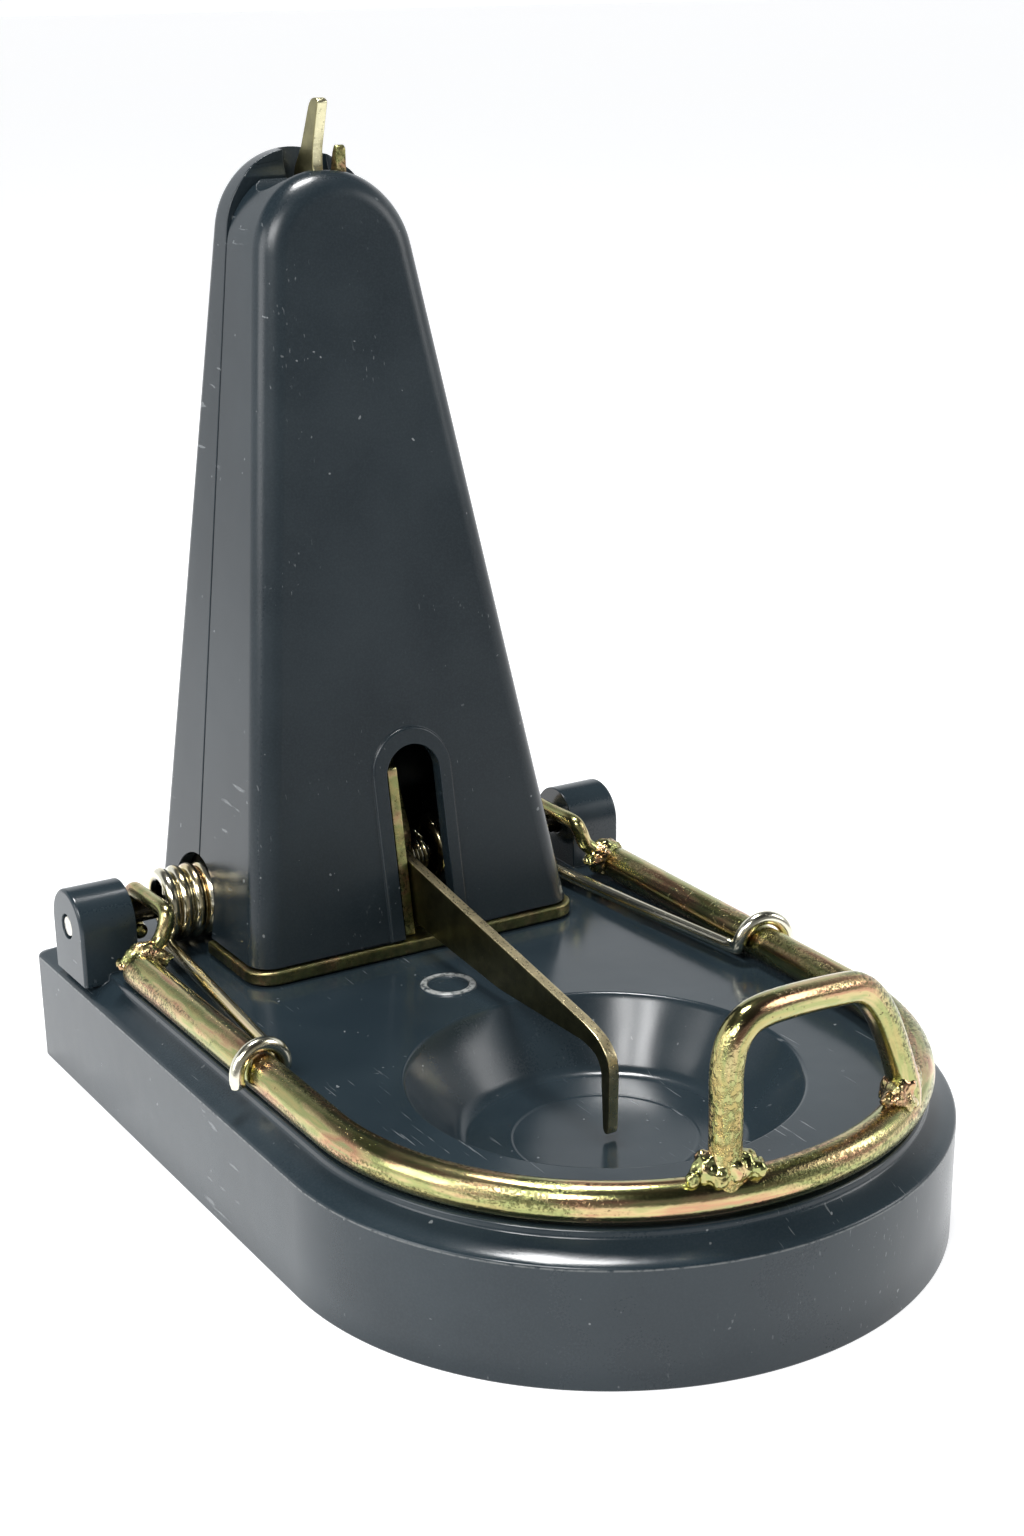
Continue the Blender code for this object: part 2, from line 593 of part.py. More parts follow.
def make_screws():
    """Four like screws, each turned from the same profile."""
    profile = screw_profile()
    data = bpy.data.meshes.new("screw_profile")
    data.from_pydata([Vector((r, 0, z)) * MM for r, z in profile],
                     [(i, i + 1) for i in range(len(profile) - 1)], [])
    for i, (x, y) in enumerate(screw_places()):
        screw = bpy.data.objects.new(f"tower_screw_{i + 1}", data.copy())
        turn = screw.modifiers.new("turn", "SCREW")
        turn.steps = turn.render_steps = 16
        turn.use_merge_vertices = True
        turn.merge_threshold = 0.00001
        add_part(screw, BRIGHT_STEEL)
        screw.location = Vector((x, y, 0)) * MM


make_base()
make_frame_plate()
make_cheeks()
make_front_shell()
make_rear_shell()
make_catch()
make_trigger()
make_pins()
make_trigger_spring()
make_hoop()
make_handle()
make_eyes()
make_springs()
make_screws()
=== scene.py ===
import math
import random

import bmesh
import bpy
from mathutils import Matrix, Vector, noise


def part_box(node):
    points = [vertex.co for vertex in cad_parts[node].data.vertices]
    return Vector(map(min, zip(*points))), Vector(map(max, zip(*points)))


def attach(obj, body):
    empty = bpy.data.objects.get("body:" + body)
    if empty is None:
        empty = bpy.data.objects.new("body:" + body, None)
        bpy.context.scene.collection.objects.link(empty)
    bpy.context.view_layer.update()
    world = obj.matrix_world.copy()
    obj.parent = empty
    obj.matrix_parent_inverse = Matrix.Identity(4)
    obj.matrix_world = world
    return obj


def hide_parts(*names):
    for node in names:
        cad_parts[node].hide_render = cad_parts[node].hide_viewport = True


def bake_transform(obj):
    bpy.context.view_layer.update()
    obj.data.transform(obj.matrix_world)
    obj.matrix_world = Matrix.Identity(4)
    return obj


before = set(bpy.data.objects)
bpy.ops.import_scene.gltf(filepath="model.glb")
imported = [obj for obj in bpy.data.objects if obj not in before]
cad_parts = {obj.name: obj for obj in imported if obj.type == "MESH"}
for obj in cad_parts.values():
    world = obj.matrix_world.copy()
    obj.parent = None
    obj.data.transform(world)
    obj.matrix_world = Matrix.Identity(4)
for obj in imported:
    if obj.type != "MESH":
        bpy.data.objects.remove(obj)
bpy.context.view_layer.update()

# Base. One moulding in dark blue-grey plastic, open below, with a stepped rim, a round bait dish
# sunk in its deck and a lug at each side for the axle. It is moulded in one shot, so every edge
# has a small radius and the faces are smooth but not flat.

MM = 0.001
GAP = 0.3                                   # room that the frame leaves between pieces that touch


def corners(node):
    """A frame node's lowest and highest corners, in millimetres."""
    return [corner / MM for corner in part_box(node)]


base_low, base_high = corners("base")
plate_low, plate_high = corners("frame_plate")
axle_low, axle_high = corners("axle")
deck_z = plate_low.z - GAP
half_width = base_high.x
back_y = base_high.y
front_centre = base_low.y + half_width
axle_y = (axle_low.y + axle_high.y) / 2
axle_z = (axle_low.z + axle_high.z) / 2
axle_radius = (axle_high.z - axle_low.z) / 2
axle_space = axle_radius + GAP
skirt = 2.8
ceiling_z = deck_z - 3.5
dish_floor_z = 12.5
dish_rim_radius = 33.0
dish_floor_radius = 24.5
dish_wall = 2.5
deck_ring_place = (-3.7, 19.7)
back_corner = 2.5
lug_outer_x, lug_inner_x = 57.1, 46.5


def arc(centre, radius, start, stop, steps):
    """Points on a circle from start to stop degrees, ends included."""
    turns = [math.radians(start + (stop - start) * i / steps) for i in range(steps + 1)]
    return [(centre[0] + radius * math.cos(a), centre[1] + radius * math.sin(a)) for a in turns]


def new_piece(name, mesh):
    """A smooth piece from a bmesh in millimetres."""
    bmesh.ops.scale(mesh, vec=(MM, MM, MM), verts=mesh.verts)
    bmesh.ops.recalc_face_normals(mesh, faces=mesh.faces)
    for face in mesh.faces:
        face.smooth = True
    data = bpy.data.meshes.new(name)
    mesh.to_mesh(data)
    mesh.free()
    piece = bpy.data.objects.new(name, data)
    bpy.context.scene.collection.objects.link(piece)
    return piece


def loft(name, rings):
    """A closed solid through rings of points, with a flat face at each end."""
    mesh = bmesh.new()
    made = [[mesh.verts.new(p) for p in ring] for ring in rings]
    for low, high in zip(made, made[1:]):
        for k in range(len(low)):
            mesh.faces.new((low[k - 1], low[k], high[k], high[k - 1]))
    mesh.faces.new(made[0])
    mesh.faces.new(made[-1])
    return new_piece(name, mesh)


def turned(name, profile, centre=(0, 0, 0), axis="Z", steps=64, closed=False):
    """A turned solid from (radius, height) points. A closed profile makes a ring."""
    mesh = bmesh.new()
    rings = []
    for radius, height in profile:
        turns = [2 * math.pi * k / steps for k in range(steps if radius else 1)]
        rings.append([mesh.verts.new((radius * math.cos(a), radius * math.sin(a), height))
                      for a in turns])
    for low, high in zip(rings, rings[1:] + (rings[:1] if closed else [])):
        for k in range(steps):
            after = (k + 1) % steps
            corner = (low[k % len(low)], low[after % len(low)],
                      high[after % len(high)], high[k % len(high)])
            mesh.faces.new(list(dict.fromkeys(corner)))
    turn = Matrix.Rotation(math.pi / 2, 4, "Y") if axis == "X" else Matrix.Identity(4)
    bmesh.ops.transform(mesh, matrix=Matrix.Translation(centre) @ turn, verts=mesh.verts)
    return new_piece(name, mesh)


def prism(name, outline, start, stop, plane="XY", rim=None):
    """A flat outline pushed from start to stop. Either end may be a function of the height.

    rim = (radius, steps, lowest height) rounds the start end's edges above that height.
    """
    near = start if callable(start) else lambda v: start
    far = stop if callable(stop) else lambda v: stop
    order = {"XY": (0, 1, 2), "XZ": (0, 2, 1), "YZ": (1, 2, 0)}[plane]
    mesh = bmesh.new()
    ends = []
    for push in (near, far):
        ring = []
        for u, v in outline:
            place = [0, 0, 0]
            for axis, value in zip(order, (u, v, push(v))):
                place[axis] = value
            ring.append(mesh.verts.new(place))
        ends.append(ring)
        mesh.faces.new(ring)
    for k in range(len(outline)):
        mesh.faces.new((ends[0][k - 1], ends[0][k], ends[1][k], ends[1][k - 1]))
    bmesh.ops.recalc_face_normals(mesh, faces=mesh.faces)
    if rim:
        radius, steps, lowest = rim
        kept = set(ends[0])
        edges = [e for e in mesh.edges if set(e.verts) <= kept
                 and max(v.co[order[1]] for v in e.verts) > lowest]
        bmesh.ops.bevel(mesh, geom=edges, offset=radius, segments=steps, profile=0.5,
                        affect="EDGES", clamp_overlap=True)
    return new_piece(name, mesh)


def combine(piece, tool, operation):
    """Cuts or joins piece with tool, and uses the tool up."""
    step = piece.modifiers.new("combine", "BOOLEAN")
    step.operation = operation
    step.solver = "EXACT"
    step.object = tool
    bpy.context.view_layer.update()
    ready = piece.evaluated_get(bpy.context.evaluated_depsgraph_get())
    shape = bpy.data.meshes.new_from_object(ready)
    piece.modifiers.clear()
    piece.data = shape
    bpy.data.objects.remove(tool)


def cut(piece, tool):
    combine(piece, tool, "DIFFERENCE")


def join(piece, tool):
    combine(piece, tool, "UNION")


def soften(piece, width, segments=2, angle=35):
    """Rounds the sharp edges and keeps the flat faces flat in the light."""
    edges = piece.modifiers.new("edges", "BEVEL")
    edges.width = width * MM
    edges.segments = segments
    edges.limit_method = "ANGLE"
    edges.angle_limit = math.radians(angle)
    edges.use_clamp_overlap = False
    piece.modifiers.new("flats", "WEIGHTED_NORMAL")


def footprint(inset, height):
    """The base's D-shaped outline, set in by inset, as a ring at height."""
    corner = max(back_corner - inset, 0.8)
    half = half_width - inset
    back = back_y - inset
    plan = (arc((0, front_centre), half, 180, 360, 96)
            + arc((half - corner, back - corner), corner, 0, 90, 6)
            + arc((corner - half, back - corner), corner, 90, 180, 6))
    return [(x, y, height) for x, y in plan]


rim_profile = [(skirt, ceiling_z), (skirt, 0), (0.3, 0), (0, 0.3), (0, deck_z - 4.1),
               (0.12, deck_z - 3.72), (0.45, deck_z - 3.45), (1.1, deck_z - 3.2),
               (2.1, deck_z - 2.75), (3.1, deck_z - 2.2), (3.9, deck_z - 1.7), (4.35, deck_z - 1.4),
               (4.6, deck_z - 1.2), (4.7, deck_z - 0.9), (4.78, deck_z - 0.45),
               (4.95, deck_z - 0.15), (5.3, deck_z)]
base = loft("base_moulding", [footprint(*step) for step in rim_profile])
bowl_slope = (dish_rim_radius - dish_floor_radius) / (deck_z - dish_floor_z)
bowl_foot = dish_floor_radius + dish_wall
bowl_low = dish_floor_z - dish_wall
join(base, turned("bowl", [(0, bowl_low), (bowl_foot - 1.5, bowl_low), (bowl_foot, bowl_low + 1),
                           (bowl_foot + bowl_slope * (ceiling_z + 1 - bowl_low), ceiling_z + 1),
                           (0, ceiling_z + 1)], (0, front_centre, 0), steps=96))
lug_radius = base_high.z - axle_z
lug_side = arc((axle_y, axle_z), lug_radius, 0, 180, 32)
lug_side += [(axle_y - lug_radius, ceiling_z + 1.5), (axle_y + lug_radius, ceiling_z + 1.5)]
for side in (-1, 1):
    lug = prism(f"lug_{side}", lug_side, side * lug_outer_x, side * lug_inner_x, "YZ",
                rim=(0.7, 3, deck_z - 1))
    join(base, lug)
dish_profile = [(0, dish_floor_z), (15.0, dish_floor_z), (15.3, dish_floor_z + 0.16),
                (15.9, dish_floor_z + 0.16), (16.2, dish_floor_z), (22.4, dish_floor_z),
                (23.4, dish_floor_z + 0.18), (24.3, dish_floor_z + 0.7), (25.2, dish_floor_z + 1.6),
                (32.1, deck_z - 1.0), (32.55, deck_z - 0.45), (32.9, deck_z - 0.12),
                (33.4, deck_z + 0.02), (33.4, deck_z + 2), (0, deck_z + 2)]
cut(base, turned("dish", dish_profile, (0, front_centre, 0), steps=128))
join(base, turned("deck_ring", [(3.7, deck_z - 1), (3.7, deck_z + 0.25), (3.9, deck_z + 0.42),
                                (4.7, deck_z + 0.42), (5.0, deck_z + 0.2), (5.0, deck_z - 1)],
                  (*deck_ring_place, 0), closed=True))
cut(base, turned("axle_hole", [(0, -half_width - 2), (axle_space, -half_width - 2),
                               (axle_space, half_width + 2), (0, half_width + 2)],
                 (0, axle_y, axle_z), "X", 32))
screw_places = []
for number in range(1, 5):
    low, high = corners(f"tower_screw_{number}")
    screw_places.append(((low.x + high.x) / 2, (low.y + high.y) / 2))
screw_space = 1.8


def screw_hole(x, y, low, high):
    """The tool for one screw's hole, between two heights."""
    return turned("screw_hole", [(0, low), (screw_space, low), (screw_space, high), (0, high)],
                  (x, y, 0), steps=24)


for x, y in screw_places:
    cut(base, screw_hole(x, y, ceiling_z - 2, deck_z + 2))
soften(base, 0.18)


class Wire:
    """A value that varies over a surface: one output in a node tree."""

    def __init__(self, tree, socket):
        self.tree = tree
        self.socket = socket

    def math(self, operation, first, second=0.0):
        return add_node(self.tree, "Math", {"operation": operation}, {0: first, 1: second})

    def __add__(self, other):
        return self.math("ADD", self, other)

    def __radd__(self, other):
        return self.math("ADD", other, self)

    def __sub__(self, other):
        return self.math("SUBTRACT", self, other)

    def __rsub__(self, other):
        return self.math("SUBTRACT", other, self)

    def __mul__(self, other):
        return self.math("MULTIPLY", self, other)

    def __rmul__(self, other):
        return self.math("MULTIPLY", other, self)

    def over(self, low, high, start=0.0, stop=1.0, flip=False):
        """start below low, stop above high and a smooth run between. flip measures the other way."""
        return add_node(self.tree, "MapRange", {"interpolation_type": "SMOOTHSTEP"},
                        {"Value": self * -1 if flip else self, "From Min": low, "From Max": high,
                         "To Min": start, "To Max": stop})


def add_node(tree, kind, settings=None, inputs=None, output=0):
    """A shader node: its settings come first, then the values or wires of its sockets."""
    made = tree.nodes.new("ShaderNode" + kind)
    for key, value in (settings or {}).items():
        if key == "stops":
            ramp = made.color_ramp.elements
            while len(ramp) < len(value):
                ramp.new(1)
            for stop, (place, colour) in zip(ramp, value):
                stop.position = place
                stop.color = (*colour, 1)
        else:
            setattr(made, key, value)
    for key, value in (inputs or {}).items():
        if isinstance(value, Wire):
            tree.links.new(value.socket, made.inputs[key])
        else:
            made.inputs[key].default_value = value
    return Wire(tree, made.outputs[output])


class Finish:
    """One material: its nodes and the Principled shader that they feed."""

    def __init__(self, name, **constants):
        self.material = bpy.data.materials.new(name)
        self.material.use_nodes = True
        self.tree = self.material.node_tree
        self.shader = self.tree.nodes["Principled BSDF"]
        for socket, value in constants.items():
            self.shader.inputs[socket.replace("_", " ")].default_value = value

    def node(self, kind, settings=None, inputs=None, output=0):
        return add_node(self.tree, kind, settings, inputs, output)

    def place(self):
        """Object coordinates, in millimetres."""
        spot = self.node("TexCoord", output="Object")
        return self.stretch(spot, (1 / MM, 1 / MM, 1 / MM))

    def stretch(self, vector, sizes):
        return self.node("VectorMath", {"operation": "MULTIPLY"}, {0: vector, 1: sizes})

    def cloud(self, where, scale, detail=2.0, rough=0.5):
        """Soft noise from 0 to 1. Scale is in patches a millimetre."""
        return self.node("TexNoise", None, {"Vector": where, "Scale": scale, "Detail": detail,
                                            "Roughness": rough})

    def mix(self, share, first, second):
        """From the first colour to the second."""
        first = first if isinstance(first, Wire) else (*first, 1)
        second = second if isinstance(second, Wire) else (*second, 1)
        return self.node("Mix", {"data_type": "RGBA"}, {0: share, 6: first, 7: second}, 2)

    def use(self, socket, value):
        self.tree.links.new(value.socket, self.shader.inputs[socket])

    def relief(self, height, depth, strength=1.0):
        """Bump of depth millimetres from a height of 0 to 1."""
        self.use("Normal", self.node("Bump", None, {"Height": height, "Distance": depth * MM,
                                                     "Strength": strength}))

    def paint(self, piece):
        piece.data.materials.clear()
        piece.data.materials.append(self.material)


def slate_plastic(name, shine, shade, wear_and_highlight=None):
    """Dark blue-grey moulded plastic: satin where it faces front, glossier elsewhere.

    shade is how pale it is against the tower. The last argument gives a mask from the material and
    its place, of real wear and of painted highlight lines along edges.
    """
    finish = Finish(name, Specular_IOR_Level=0.40)
    where = finish.place()
    tone = finish.cloud(where, 0.035, 3)
    grain = finish.cloud(where, 2.6, 3, 0.65)
    sheen = finish.cloud(where, 0.07, 2)
    normal = finish.node("TexCoord", output="Normal")
    facing = finish.node("SeparateXYZ", None, {0: normal}, "Y").over(0.35, 0.9, flip=True)
    nick = finish.cloud(where, 0.8, 1, 0.3).over(0.775, 0.80)
    nick = nick * finish.cloud(where, 0.06, 1).over(0.45, 0.6)
    scratch = finish.cloud(finish.stretch(where, (1, 0.05, 0.3)), 1.9, 2).over(0.69, 0.73)
    scratch = scratch * finish.cloud(where, 0.045, 1).over(0.5, 0.62)
    wear = scratch * 0.35 + nick * 0.55
    dark, pale = (0.0080, 0.0140, 0.0185), (0.0140, 0.0220, 0.0275)
    colour = finish.mix(tone.over(0.3, 0.7), [c * shade for c in dark], [c * shade for c in pale])
    colour = finish.mix(grain.over(0.35, 0.75) * 0.35, colour, (0.030, 0.040, 0.048))
    colour = finish.mix(wear, colour, (0.30, 0.32, 0.33))
    if wear_and_highlight:
        # Paints real wear and painted highlight lines pale.
        rubbed_and_lit = wear_and_highlight(finish, where) * finish.cloud(where, 0.9, 3, 0.7).over(0.30, 0.55)
        colour = finish.mix(rubbed_and_lit, colour, (0.36, 0.37, 0.36))
    finish.use("Base Color", colour)
    finish.use("Roughness", facing * 0.12 + sheen * 0.14 + grain * 0.06 + wear * 0.2 + shine)
    finish.relief(sheen * 0.8 + grain * 0.07 - nick * 0.15, 0.30, 0.35)
    return finish


def base_wear_and_highlight(finish, where):
    """The pale, scuffed top of the deck's ring, and a painted highlight: a thin pale line along the
    rim's lower edge.
    """
    spot = finish.node("VectorMath", {"operation": "SUBTRACT"},
                       {0: where, 1: (*deck_ring_place, deck_z)})
    flat = finish.stretch(spot, (1, 1, 0))
    reach = finish.node("VectorMath", {"operation": "LENGTH"}, {0: flat}, "Value")
    height = finish.node("SeparateXYZ", None, {0: spot}, "Z")
    ring = height.over(0.12, 0.3) * reach.over(3.5, 3.8) * (1 - reach.over(5.0, 5.3)) * 0.75
    middle = finish.node("VectorMath", {"operation": "SUBTRACT"},
                         {0: where, 1: (0, front_centre, 0)})
    middle = finish.stretch(middle, (1, 1, 0))
    outside = finish.node("VectorMath", {"operation": "LENGTH"}, {0: middle}, "Value").over(44, 46)
    # Painted highlight, not wear: a thin pale line where the outer wall meets the rim's band.
    edge = height.over(-4.15, -4.0) * (1 - height.over(-3.9, -3.75)) * outside * 0.30
    return ring + edge


base_plastic = slate_plastic("slate_base", 0.07, 1.35, base_wear_and_highlight)
base_plastic.paint(base)
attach(base, "trap_body")
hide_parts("base")

# Frame plate. A flat steel plate between the deck and the tower, stamped with round corners and
# notched at each side for the springs. It is plated in yellow zinc, and its rim shows as a strip.


def eased(outline, radius, steps=4):
    """The outline with each corner rounded by about radius."""
    smooth = []
    for k, corner in enumerate(outline):
        corner = Vector(corner)
        before = Vector(outline[k - 1]) - corner
        after = Vector(outline[(k + 1) % len(outline)]) - corner
        reach = min(radius, before.length * 0.45, after.length * 0.45)
        first, last = corner + before.normalized() * reach, corner + after.normalized() * reach
        for i in range(steps + 1):
            t = i / steps
            smooth.append(first * (1 - t) ** 2 + corner * 2 * t * (1 - t) + last * t * t)
    return smooth


def zinc(name, roughness=0.20, pits=0.4, dull=0.0, grain=False, rough_until=0.0):
    """Yellow zinc plating: gold that shifts to pink and green, with dark speckled bands.

    pits is how strong the dark spots are, and dull how brown the plating is. grain is for a tube,
    whose finish runs along it. rough_until is how far from a tube's start its crust goes.
    """
    finish = Finish(name, Metallic=1.0)
    if grain:
        where = finish.node("Attribute", {"attribute_name": "grain"}, output="Vector")
        along = finish.stretch(where, (1, 1, 0.12))
    else:
        where = finish.place()
        along = finish.stretch(where, (0.6, 0.6, 0.6))
    tint = finish.cloud(along, 0.34, 3, 0.6)
    shift = finish.cloud(where, 0.15, 2)
    fine = finish.cloud(where, 2.6, 3, 0.6)
    speckle = finish.cloud(where, 1.7, 4, 0.75).over(0.44, 0.60)
    speckle = speckle * finish.cloud(along, 0.26).over(0.48, 0.58)
    pit = finish.cloud(where, 1.3, 3, 0.7).over(0.60, 0.70)
    pit = pit * finish.cloud(where, 0.10, 1).over(0.42, 0.6)
    stops = [(0.30, (0.20, 0.23, 0.09)), (0.40, (0.42, 0.36, 0.155)), (0.47, (0.32, 0.345, 0.14)),
             (0.53, (0.52, 0.42, 0.21)), (0.60, (0.48, 0.27, 0.16)), (0.68, (0.33, 0.35, 0.165)),
             (0.80, (0.50, 0.43, 0.25))]
    colour = finish.node("ValToRGB", {"stops": stops}, {0: tint * 0.75 + shift * 0.25})
    if dull:
        patch = finish.cloud(where, 0.4, 3, 0.6).over(0.40, 0.65)
        colour = finish.mix(patch * 0.5 + 0.4 * dull, colour, (0.17, 0.16, 0.075))
    colour = finish.mix(speckle * pits, colour, (0.06, 0.06, 0.022))
    colour = finish.mix(pit * pits, colour, (0.09, 0.055, 0.02))
    height = fine * 0.25 - pit * 0.5 + shift * 0.5 - speckle * 0.15
    if rough_until:
        start = finish.node("SeparateXYZ", None, {0: where}, "Z").over(rough_until * 0.4, rough_until)
        crust = finish.cloud(where, 0.75, 4, 0.65).over(0.42, 0.62) * (1 - start)
        colour = finish.mix(crust * 0.4, colour, (0.42, 0.24, 0.08))
        height = height - crust * 2.5
    finish.use("Base Color", colour)
    finish.use("Roughness",
               fine * 0.12 + shift * 0.12 + pit * 0.2 + speckle * 0.2 + (roughness - 0.12))
    finish.relief(height, 0.14, 0.6)
    return finish


plate_corner = 5.0
plate_half = plate_high.x - plate_corner
plate_front = plate_low.y + plate_corner
plate_back = plate_high.y - plate_corner
plate_plan = (arc((plate_half, plate_back), plate_corner, 0, 90, 12)
              + arc((-plate_half, plate_back), plate_corner, 90, 180, 12)
              + arc((-plate_half, plate_front), plate_corner, 180, 270, 12)
              + arc((plate_half, plate_front), plate_corner, 270, 360, 12))
plate = prism("frame_plate_zinc", plate_plan, plate_low.z, plate_high.z)
notch_front, notch_back = axle_y - 8.6, axle_y + 7.5
notch_inner_x, notch_outer_x = 14, 40
for side in (-1, 1):
    notch = [(side * notch_inner_x, notch_front), (side * notch_outer_x, notch_front),
             (side * notch_outer_x, notch_back), (side * notch_inner_x, notch_back)]
    cut(plate, prism("notch", eased(notch, 1.5), plate_low.z - 2, plate_high.z + 2))
for x, y in screw_places:
    cut(plate, screw_hole(x, y, plate_low.z - 2, plate_high.z + 2))
soften(plate, 0.45, 3)
zinc("zinc_plate", 0.32, 0.7, 1.0).paint(plate)
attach(plate, "trap_body")
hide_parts("frame_plate")

# Tower. Two thin plastic shells that meet at a leaning seam, screwed down through the base. The
# front one has a round-topped slot with a raised border for the trigger blade, and both share the
# arched side holes for the springs and the groove and slot in the head for the prongs.

front_low, front_high = corners("tower_front_shell")
rear_high = corners("tower_rear_shell")[1]
tower_foot_z = front_low.z
tower_half = front_high.x
side_slope = 0.1495
tower_wall = 2.4
cavity_top_z = 153.0
spring_arch_radius = 8.6
boss_radius = 3.3
boss_top_z = 40.0
seam_foot_y = 62.0
groove_radius = 5.2
groove_place = (0, 69.2, 161.6)
prong_slot = ((-2.3, 6.1), (63.3, 76.8))    # its sides, then its front and back
trigger_slot_half = 5.4
slot_border_half = 8.05


def front_y(z):
    """The leaning front face at a height."""
    return front_low.y + 0.181 * (z - tower_foot_z)


def seam_y(z):
    """The seam between the shells at a height."""
    return seam_foot_y + 0.085 * (z - tower_foot_z)


def tower_outline(inset, top_z):
    """Front view of the tower: sloping sides that run into a round head."""
    lean = math.atan(side_slope)
    reach = tower_half + side_slope * tower_foot_z
    head_z = (top_z - (reach * math.cos(lean) - inset)) / (1 - math.sin(lean))
    head = arc((0, head_z), top_z - head_z, math.degrees(lean), 180 - math.degrees(lean), 48)
    foot_z = tower_foot_z if inset == 0 else tower_foot_z - 5
    foot = reach - side_slope * foot_z - inset / math.cos(lean)
    return head + [(-foot, foot_z), (foot, foot_z)]


def open_tower(shell, boss_y):
    """Adds the two screw bosses, then cuts the side arches, the cross groove and the prong slot."""
    for side in (-1, 1):
        x = side * abs(screw_places[0][0])
        join(shell, turned("boss", [(0, tower_foot_z), (boss_radius, tower_foot_z),
                                    (boss_radius, boss_top_z), (0, boss_top_z)], (x, boss_y, 0)))
        cut(shell, screw_hole(x, boss_y, tower_foot_z - 2, boss_top_z - 2))
    low = tower_foot_z - 3
    arch = arc((axle_y, axle_z), spring_arch_radius, 0, 180, 32)
    arch += [(axle_y - spring_arch_radius, low), (axle_y + spring_arch_radius, low)]
    cut(shell, prism("arch", arch, -half_width, half_width, "YZ"))
    cut(shell, turned("groove", [(0, -30), (groove_radius, -30), (groove_radius, 30), (0, 30)],
                      groove_place, "X", 48))
    (left, right), (front, back) = prong_slot
    slot = [(left, front), (right, front), (right, back), (left, back)]
    cut(shell, prism("prong_slot", eased(slot, 1.2), 147, 168))


front_shell = prism("front_shell", tower_outline(0, front_high.z), front_y,
                    lambda z: seam_y(z) - GAP / 2, "XZ", rim=(4.5, 8, tower_foot_z + 1))
border_top = arc((1.85, 57.1), slot_border_half, 0, 180, 32)
border_top += [(-6.2, tower_foot_z + 0.05), (9.9, tower_foot_z + 0.05)]
join(front_shell, prism("slot_border", border_top, lambda z: front_y(z) - 0.5,
                        lambda z: front_y(z) + 1.2, "XZ", rim=(0.45, 3, tower_foot_z + 1)))
cut(front_shell, prism("front_hollow", tower_outline(tower_wall, cavity_top_z),
                       lambda z: front_y(z) + tower_wall, lambda z: seam_y(z) + 5, "XZ"))
open_tower(front_shell, min(y for x, y in screw_places))
slot_shape = arc((2.0, 56.6), trigger_slot_half, 0, 180, 32)
slot_shape += [(-3.4, tower_foot_z - 5), (7.4, tower_foot_z - 5)]
cut(front_shell, prism("trigger_slot", slot_shape, 25, 50, "XZ"))
rear_shell = prism("rear_shell", tower_outline(0, rear_high.z), rear_high.y,
                   lambda z: seam_y(z) + GAP / 2, "XZ", rim=(3.2, 6, tower_foot_z + 1))
cut(rear_shell, prism("rear_hollow", tower_outline(tower_wall, cavity_top_z),
                      lambda z: seam_y(z) - 5, rear_high.y - tower_wall, "XZ"))
open_tower(rear_shell, max(y for x, y in screw_places))
tower_plastic = slate_plastic("slate_tower", 0.12, 1.0)
for shell, node in ((front_shell, "tower_front_shell"), (rear_shell, "tower_rear_shell")):
    soften(shell, 0.2)
    tower_plastic.paint(shell)
    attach(shell, "trap_body")
    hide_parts(node)

# Spine and side plate. Two upright steel plates inside the tower, stamped and zinc plated, that
# carry the lever pins between them. The side plate's tip stands up in the slot of the head.

trigger_pivot = (51.0, 37.0)
catch_pivot = (68.5, 146.0)
pin_radius = 1.5
spine_side = [(36.9, tower_foot_z), (42.3, 58.0), (45.5, 58.9), (61.8, 149.5), (63, 151), (73, 151),
              (74.2, 148), (74.2, tower_foot_z)]
side_side = [(47.5, tower_foot_z), (47.5, 43), (56, 60), (63.2, 140), (64.3, 155), (64.3, 163.2),
             (65.3, 163.8), (66.2, 162.2), (67.6, 156), (74.2, 148), (74.2, tower_foot_z)]


def flat_steel(name, node, outline, corner, edge):
    """A stamped plate in the layer of its frame node, drilled where pins and axle pass."""
    low, high = corners(node)
    sheet = prism(name, eased(outline, corner), low.x, high.x, "YZ")
    holes = ((trigger_pivot, pin_radius + 0.15), (catch_pivot, pin_radius + 0.15),
             ((axle_y, axle_z), axle_space))
    for (y, z), radius in holes:
        inside = low.y < y - radius and y + radius < high.y
        if inside and low.z < z - radius and z + radius < high.z:
            cut(sheet, turned("hole", [(0, low.x - 1), (radius, low.x - 1), (radius, high.x + 1),
                                       (0, high.x + 1)], (0, y, z), "X", 32))
    soften(sheet, edge)
    return sheet


sheet_zinc = zinc("zinc_sheet", 0.30, 0.9, 0.2)
for name, node, outline in (("spine_plate_zinc", "spine_plate", spine_side),
                            ("side_plate_zinc", "side_plate", side_side)):
    sheet = flat_steel(name, node, outline, 0.5, 0.2)
    sheet_zinc.paint(sheet)
    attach(sheet, "trap_body")
    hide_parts(node)

# Catch and trigger. Two flat steel levers in one layer, each on its own pin. The catch's tall
# prong stands out of the head. The trigger blade runs from the slot down to the dish, where its
# tip is bent straight down. Their cut edges shine paler than their faces.

catch_side = [(64.3, 170.9), (65.2, 171.45), (66.6, 171.45), (67.9, 170.4), (71.6, 163.0),
              (74.4, 159.4), (75.1, 156.5), (73.4, 148), (72.4, 141), (70.2, 100), (68.8, 52),
              (67.6, 47.3), (64.4, 47.3), (63.8, 56), (65.2, 100), (64.8, 141), (65.0, 150),
              (66.2, 157.5), (67.1, 160.0), (66.9, 163.0)]
trigger_side = [(57.0, 44.0), (55.5, 45.0), (47, 42.4), (39, 40.6), (-19.5, 31.0), (-24.1, 29.6),
                (-26.6, 27.4), (-27.2, 25.0), (-26.9, 14.4), (-26.5, 13.4), (-25.7, 13.4),
                (-25.2, 14.2), (-24.6, 24.6), (-23.2, 26.6), (-19.5, 27.6), (7.8, 27.0),
                (38, 29.4), (50, 31.8), (55.5, 36)]


